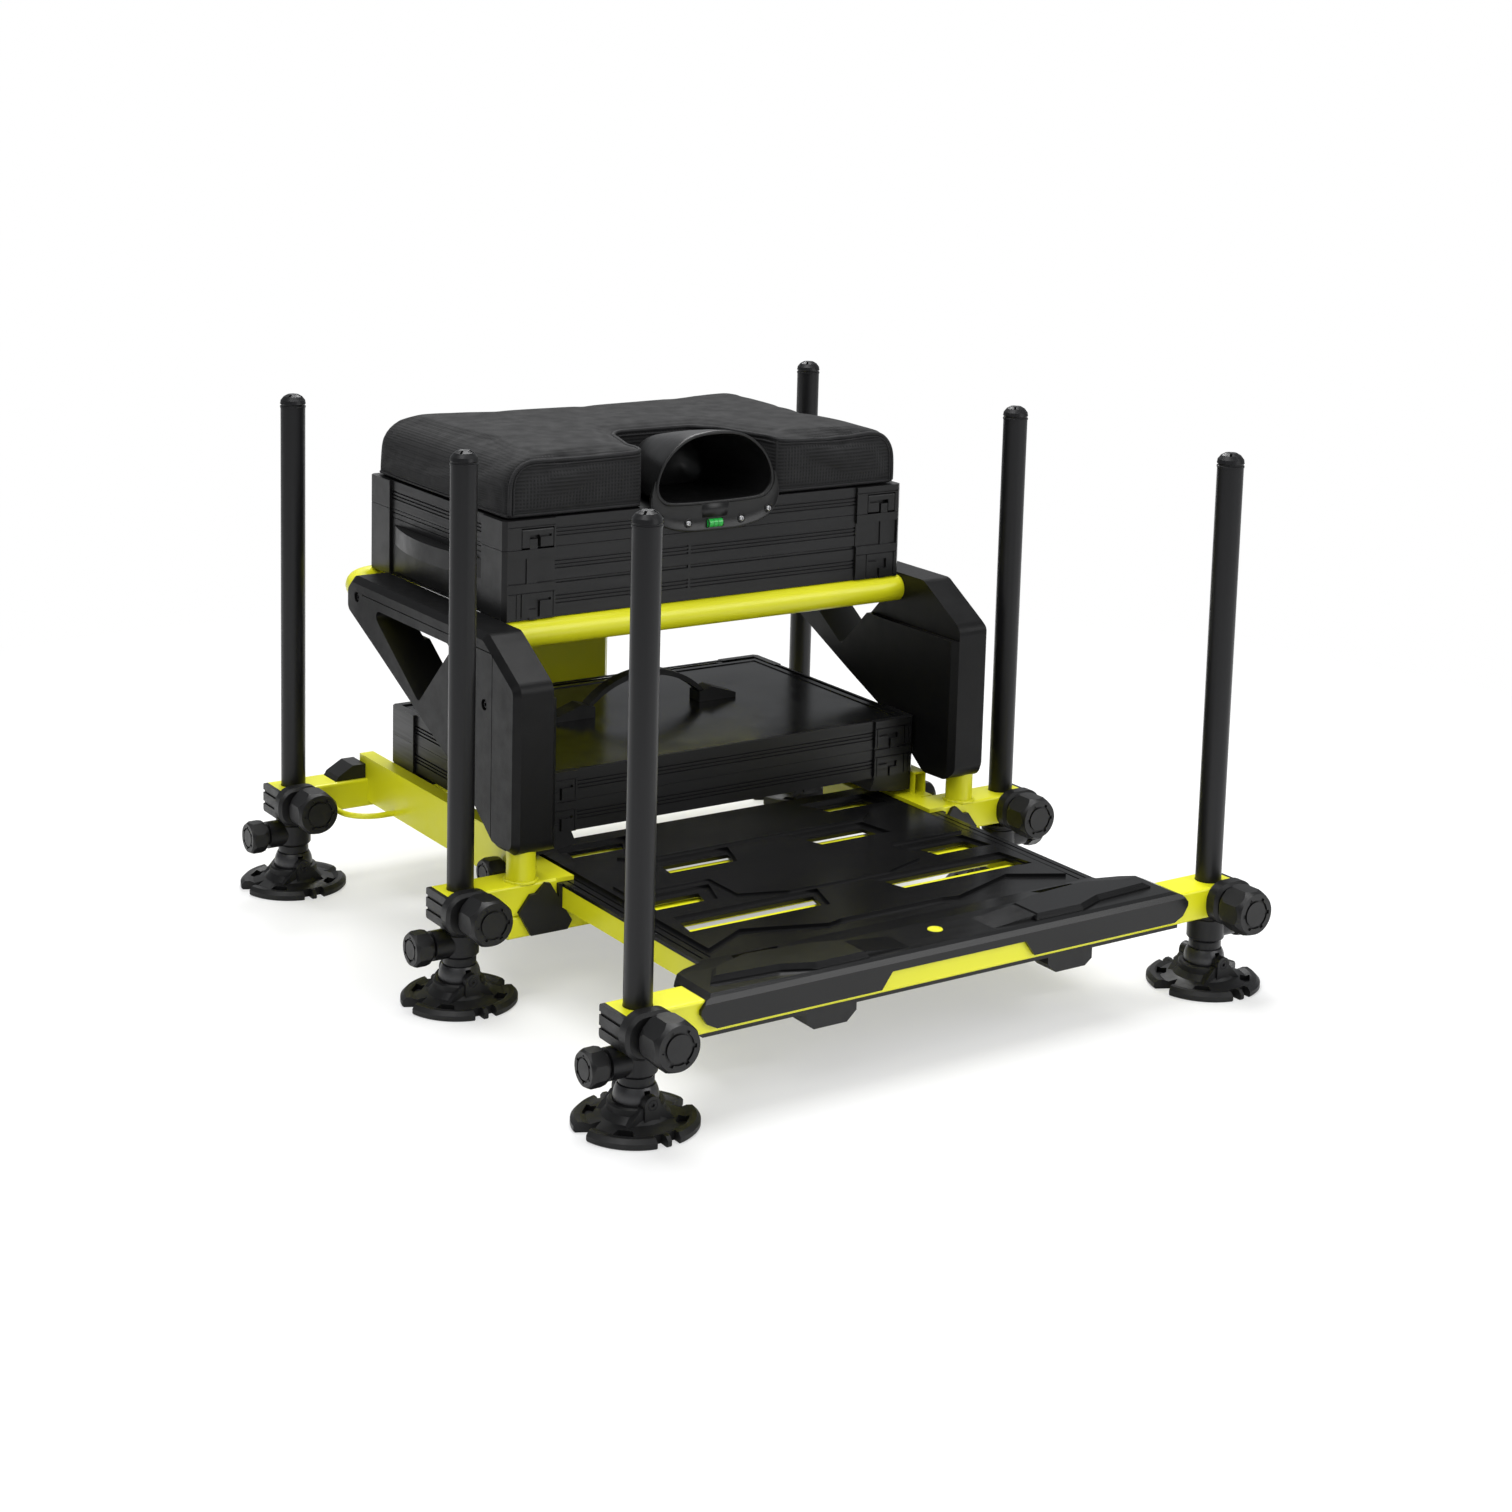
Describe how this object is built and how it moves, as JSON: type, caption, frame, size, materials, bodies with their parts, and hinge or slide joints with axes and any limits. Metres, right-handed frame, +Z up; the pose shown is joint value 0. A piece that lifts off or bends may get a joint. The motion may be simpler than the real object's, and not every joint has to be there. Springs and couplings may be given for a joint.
{
  "type": "fishing seat box",
  "caption": "Fishing seat box with padded seat, telescopic legs on swivel feet, sliding footplate, pull-out tackle cassette and side drawer.",
  "frame": {"origin": "on the ground under the middle of the bounding box", "axes": "+Z up, -Y towards the footplate and the angler's feet, +X to the seated angler's left-hand side as seen from the front"},
  "size_m": [0.748, 0.8124, 0.5195],
  "materials": {
    "lime": "gloss powder coat in lime green",
    "leg_grey": "dark grey anodised tube",
    "black_plastic": "moulded black plastic with a fine texture",
    "deck_plastic": "moulded dark plastic, lightly worn",
    "band_alloy": "black anodised ribbed extrusion",
    "cushion_cloth": "black woven seat cloth",
    "steel": "plain steel",
    "inner_alloy": "plain anodised alloy",
    "vial_green": "clear green plastic",
    "rubber": "black rubber",
    "lid_board": "smooth dark lid"
  },
  "bodies": {
    "box_frame": {"main_frame": "lime", "upper_frame": "lime", "side_cover_left": "black_plastic", "side_cover_right": "black_plastic", "frame_end_caps": "black_plastic", "slide_guides": "black_plastic", "deep_unit_body": "band_alloy", "deep_unit_corners": "black_plastic"},
    "side_drawer": {"side_drawer": "black_plastic"},
    "seat": {"seat_frame": "band_alloy", "seat_corners": "black_plastic", "seat_cushion": "cushion_cloth", "pole_cup": "black_plastic", "level_vial": "vial_green"},
    "seat_latches": {"seat_latches": "black_plastic"},
    "cassette": {"cassette_lower_tray": "band_alloy", "cassette_upper_tray": "band_alloy"},
    "cassette_lid": {"cassette_lid": "lid_board", "cassette_handle": "rubber"},
    "footplate": {"footplate_frame": "lime", "footplate_deck": "deck_plastic", "footplate_rests": "black_plastic", "footplate_end_caps": "black_plastic"},
    "lock_knobs": {"footplate_lock_knobs": "black_plastic"},
    "front_left_leg": {"front_left_leg_tube": "leg_grey"},
    "front_left_clamp_knob": {"front_left_clamp_knob": "black_plastic"},
    "front_left_inner_leg": {"front_left_inner_leg": "inner_alloy"},
    "front_left_inner_knob": {"front_left_inner_knob": "black_plastic"},
    "front_left_foot_pin": {"front_left_foot_pin": "steel"},
    "front_left_foot_pad": {"front_left_foot_pad": "black_plastic"},
    "front_right_leg": {"front_right_leg_tube": "leg_grey"},
    "front_right_clamp_knob": {"front_right_clamp_knob": "black_plastic"},
    "front_right_inner_leg": {"front_right_inner_leg": "inner_alloy"},
    "front_right_inner_knob": {"front_right_inner_knob": "black_plastic"},
    "front_right_foot_pin": {"front_right_foot_pin": "steel"},
    "front_right_foot_pad": {"front_right_foot_pad": "black_plastic"},
    "mid_left_leg": {"mid_left_leg_tube": "leg_grey"},
    "mid_left_clamp_knob": {"mid_left_clamp_knob": "black_plastic"},
    "mid_left_inner_leg": {"mid_left_inner_leg": "inner_alloy"},
    "mid_left_inner_knob": {"mid_left_inner_knob": "black_plastic"},
    "mid_left_foot_pin": {"mid_left_foot_pin": "steel"},
    "mid_left_foot_pad": {"mid_left_foot_pad": "black_plastic"},
    "mid_right_leg": {"mid_right_leg_tube": "leg_grey"},
    "mid_right_clamp_knob": {"mid_right_clamp_knob": "black_plastic"},
    "mid_right_inner_leg": {"mid_right_inner_leg": "inner_alloy"},
    "mid_right_inner_knob": {"mid_right_inner_knob": "black_plastic"},
    "mid_right_foot_pin": {"mid_right_foot_pin": "steel"},
    "mid_right_foot_pad": {"mid_right_foot_pad": "black_plastic"},
    "rear_left_leg": {"rear_left_leg_tube": "leg_grey"},
    "rear_left_clamp_knob": {"rear_left_clamp_knob": "black_plastic"},
    "rear_left_inner_leg": {"rear_left_inner_leg": "inner_alloy"},
    "rear_left_inner_knob": {"rear_left_inner_knob": "black_plastic"},
    "rear_left_foot_pin": {"rear_left_foot_pin": "steel"},
    "rear_left_foot_pad": {"rear_left_foot_pad": "black_plastic"},
    "rear_right_leg": {"rear_right_leg_tube": "leg_grey"},
    "rear_right_clamp_knob": {"rear_right_clamp_knob": "black_plastic"},
    "rear_right_inner_leg": {"rear_right_inner_leg": "inner_alloy"},
    "rear_right_inner_knob": {"rear_right_inner_knob": "black_plastic"},
    "rear_right_foot_pin": {"rear_right_foot_pin": "steel"},
    "rear_right_foot_pad": {"rear_right_foot_pad": "black_plastic"}
  },
  "joints": [
    {"name": "side_drawer_slide", "type": "slide", "parent": "box_frame", "child": "side_drawer", "axis": [-1, 0, 0], "range_m": [0, 0.2]},
    {"name": "seat_hinge", "type": "hinge", "parent": "box_frame", "child": "seat", "pos_m": [0, 0.35355, 0.40265], "axis": [-1, 0, 0], "range_deg": [0, 80]},
    {"name": "seat_latch_flip", "type": "hinge", "parent": "seat", "child": "seat_latches", "pos_m": [0, 0.05765, 0.4204], "axis": [-1, 0, 0], "range_deg": [0, 100]},
    {"name": "cassette_slide", "type": "slide", "parent": "box_frame", "child": "cassette", "axis": [0, -1, 0], "range_m": [0, 0.25]},
    {"name": "cassette_lid_hinge", "type": "hinge", "parent": "cassette", "child": "cassette_lid", "pos_m": [0, 0.30075, 0.18985], "axis": [-1, 0, 0], "range_deg": [0, 20]},
    {"name": "footplate_slide", "type": "slide", "parent": "box_frame", "child": "footplate", "axis": [0, 1, 0], "range_m": [0, 0.185]},
    {"name": "footplate_lock_turn", "type": "hinge", "parent": "box_frame", "child": "lock_knobs", "pos_m": [0, 0.03125, 0.097], "axis": [1, 0, 0], "range_deg": [0, 180]},
    {"name": "front_left_leg_slide", "type": "slide", "parent": "footplate", "child": "front_left_leg", "axis": [0, 0, 1], "range_m": [-0.36, 0]},
    {"name": "front_left_clamp_turn", "type": "hinge", "parent": "footplate", "child": "front_left_clamp_knob", "pos_m": [-0.3205, -0.34025, 0.0885], "axis": [0, -1, 0], "range_deg": [0, 180]},
    {"name": "front_left_inner_slide", "type": "slide", "parent": "front_left_leg", "child": "front_left_inner_leg", "axis": [0, 0, 1], "range_m": [-0.3, 0]},
    {"name": "front_left_inner_knob_turn", "type": "hinge", "parent": "front_left_leg", "child": "front_left_inner_knob", "pos_m": [-0.3205, -0.34025, 0.058], "axis": [-1, 0, 0], "range_deg": [0, 180]},
    {"name": "front_left_foot_tilt_side", "type": "hinge", "parent": "front_left_inner_leg", "child": "front_left_foot_pin", "pos_m": [-0.3205, -0.34025, 0.026], "axis": [1, 0, 0], "range_deg": [-18, 18]},
    {"name": "front_left_foot_tilt_front", "type": "hinge", "parent": "front_left_foot_pin", "child": "front_left_foot_pad", "pos_m": [-0.3205, -0.34025, 0.026], "axis": [0, 1, 0], "range_deg": [-18, 18]},
    {"name": "front_right_leg_slide", "type": "slide", "parent": "footplate", "child": "front_right_leg", "axis": [0, 0, 1], "range_m": [-0.36, 0]},
    {"name": "front_right_clamp_turn", "type": "hinge", "parent": "footplate", "child": "front_right_clamp_knob", "pos_m": [0.3205, -0.34025, 0.0885], "axis": [0, -1, 0], "range_deg": [0, 180]},
    {"name": "front_right_inner_slide", "type": "slide", "parent": "front_right_leg", "child": "front_right_inner_leg", "axis": [0, 0, 1], "range_m": [-0.3, 0]},
    {"name": "front_right_inner_knob_turn", "type": "hinge", "parent": "front_right_leg", "child": "front_right_inner_knob", "pos_m": [0.3205, -0.34025, 0.058], "axis": [1, 0, 0], "range_deg": [0, 180]},
    {"name": "front_right_foot_tilt_side", "type": "hinge", "parent": "front_right_inner_leg", "child": "front_right_foot_pin", "pos_m": [0.3205, -0.34025, 0.026], "axis": [1, 0, 0], "range_deg": [-18, 18]},
    {"name": "front_right_foot_tilt_front", "type": "hinge", "parent": "front_right_foot_pin", "child": "front_right_foot_pad", "pos_m": [0.3205, -0.34025, 0.026], "axis": [0, 1, 0], "range_deg": [-18, 18]},
    {"name": "mid_left_leg_slide", "type": "slide", "parent": "box_frame", "child": "mid_left_leg", "axis": [0, 0, 1], "range_m": [-0.36, 0]},
    {"name": "mid_left_clamp_turn", "type": "hinge", "parent": "box_frame", "child": "mid_left_clamp_knob", "pos_m": [-0.3205, -0.02375, 0.0935], "axis": [0, -1, 0], "range_deg": [0, 180]},
    {"name": "mid_left_inner_slide", "type": "slide", "parent": "mid_left_leg", "child": "mid_left_inner_leg", "axis": [0, 0, 1], "range_m": [-0.3, 0]},
    {"name": "mid_left_inner_knob_turn", "type": "hinge", "parent": "mid_left_leg", "child": "mid_left_inner_knob", "pos_m": [-0.3205, -0.02375, 0.058], "axis": [-1, 0, 0], "range_deg": [0, 180]},
    {"name": "mid_left_foot_tilt_side", "type": "hinge", "parent": "mid_left_inner_leg", "child": "mid_left_foot_pin", "pos_m": [-0.3205, -0.02375, 0.026], "axis": [1, 0, 0], "range_deg": [-18, 18]},
    {"name": "mid_left_foot_tilt_front", "type": "hinge", "parent": "mid_left_foot_pin", "child": "mid_left_foot_pad", "pos_m": [-0.3205, -0.02375, 0.026], "axis": [0, 1, 0], "range_deg": [-18, 18]},
    {"name": "mid_right_leg_slide", "type": "slide", "parent": "box_frame", "child": "mid_right_leg", "axis": [0, 0, 1], "range_m": [-0.36, 0]},
    {"name": "mid_right_clamp_turn", "type": "hinge", "parent": "box_frame", "child": "mid_right_clamp_knob", "pos_m": [0.3205, -0.02375, 0.0935], "axis": [0, -1, 0], "range_deg": [0, 180]},
    {"name": "mid_right_inner_slide", "type": "slide", "parent": "mid_right_leg", "child": "mid_right_inner_leg", "axis": [0, 0, 1], "range_m": [-0.3, 0]},
    {"name": "mid_right_inner_knob_turn", "type": "hinge", "parent": "mid_right_leg", "child": "mid_right_inner_knob", "pos_m": [0.3205, -0.02375, 0.058], "axis": [1, 0, 0], "range_deg": [0, 180]},
    {"name": "mid_right_foot_tilt_side", "type": "hinge", "parent": "mid_right_inner_leg", "child": "mid_right_foot_pin", "pos_m": [0.3205, -0.02375, 0.026], "axis": [1, 0, 0], "range_deg": [-18, 18]},
    {"name": "mid_right_foot_tilt_front", "type": "hinge", "parent": "mid_right_foot_pin", "child": "mid_right_foot_pad", "pos_m": [0.3205, -0.02375, 0.026], "axis": [0, 1, 0], "range_deg": [-18, 18]},
    {"name": "rear_left_leg_slide", "type": "slide", "parent": "box_frame", "child": "rear_left_leg", "axis": [0, 0, 1], "range_m": [-0.36, 0]},
    {"name": "rear_left_clamp_turn", "type": "hinge", "parent": "box_frame", "child": "rear_left_clamp_knob", "pos_m": [-0.3205, 0.35175, 0.0935], "axis": [0, -1, 0], "range_deg": [0, 180]},
    {"name": "rear_left_inner_slide", "type": "slide", "parent": "rear_left_leg", "child": "rear_left_inner_leg", "axis": [0, 0, 1], "range_m": [-0.3, 0]},
    {"name": "rear_left_inner_knob_turn", "type": "hinge", "parent": "rear_left_leg", "child": "rear_left_inner_knob", "pos_m": [-0.3205, 0.35175, 0.058], "axis": [-1, 0, 0], "range_deg": [0, 180]},
    {"name": "rear_left_foot_tilt_side", "type": "hinge", "parent": "rear_left_inner_leg", "child": "rear_left_foot_pin", "pos_m": [-0.3205, 0.35175, 0.026], "axis": [1, 0, 0], "range_deg": [-18, 18]},
    {"name": "rear_left_foot_tilt_front", "type": "hinge", "parent": "rear_left_foot_pin", "child": "rear_left_foot_pad", "pos_m": [-0.3205, 0.35175, 0.026], "axis": [0, 1, 0], "range_deg": [-18, 18]},
    {"name": "rear_right_leg_slide", "type": "slide", "parent": "box_frame", "child": "rear_right_leg", "axis": [0, 0, 1], "range_m": [-0.36, 0]},
    {"name": "rear_right_clamp_turn", "type": "hinge", "parent": "box_frame", "child": "rear_right_clamp_knob", "pos_m": [0.3205, 0.35175, 0.0935], "axis": [0, -1, 0], "range_deg": [0, 180]},
    {"name": "rear_right_inner_slide", "type": "slide", "parent": "rear_right_leg", "child": "rear_right_inner_leg", "axis": [0, 0, 1], "range_m": [-0.3, 0]},
    {"name": "rear_right_inner_knob_turn", "type": "hinge", "parent": "rear_right_leg", "child": "rear_right_inner_knob", "pos_m": [0.3205, 0.35175, 0.058], "axis": [1, 0, 0], "range_deg": [0, 180]},
    {"name": "rear_right_foot_tilt_side", "type": "hinge", "parent": "rear_right_inner_leg", "child": "rear_right_foot_pin", "pos_m": [0.3205, 0.35175, 0.026], "axis": [1, 0, 0], "range_deg": [-18, 18]},
    {"name": "rear_right_foot_tilt_front", "type": "hinge", "parent": "rear_right_foot_pin", "child": "rear_right_foot_pad", "pos_m": [0.3205, 0.35175, 0.026], "axis": [0, 1, 0], "range_deg": [-18, 18]}
  ]
}
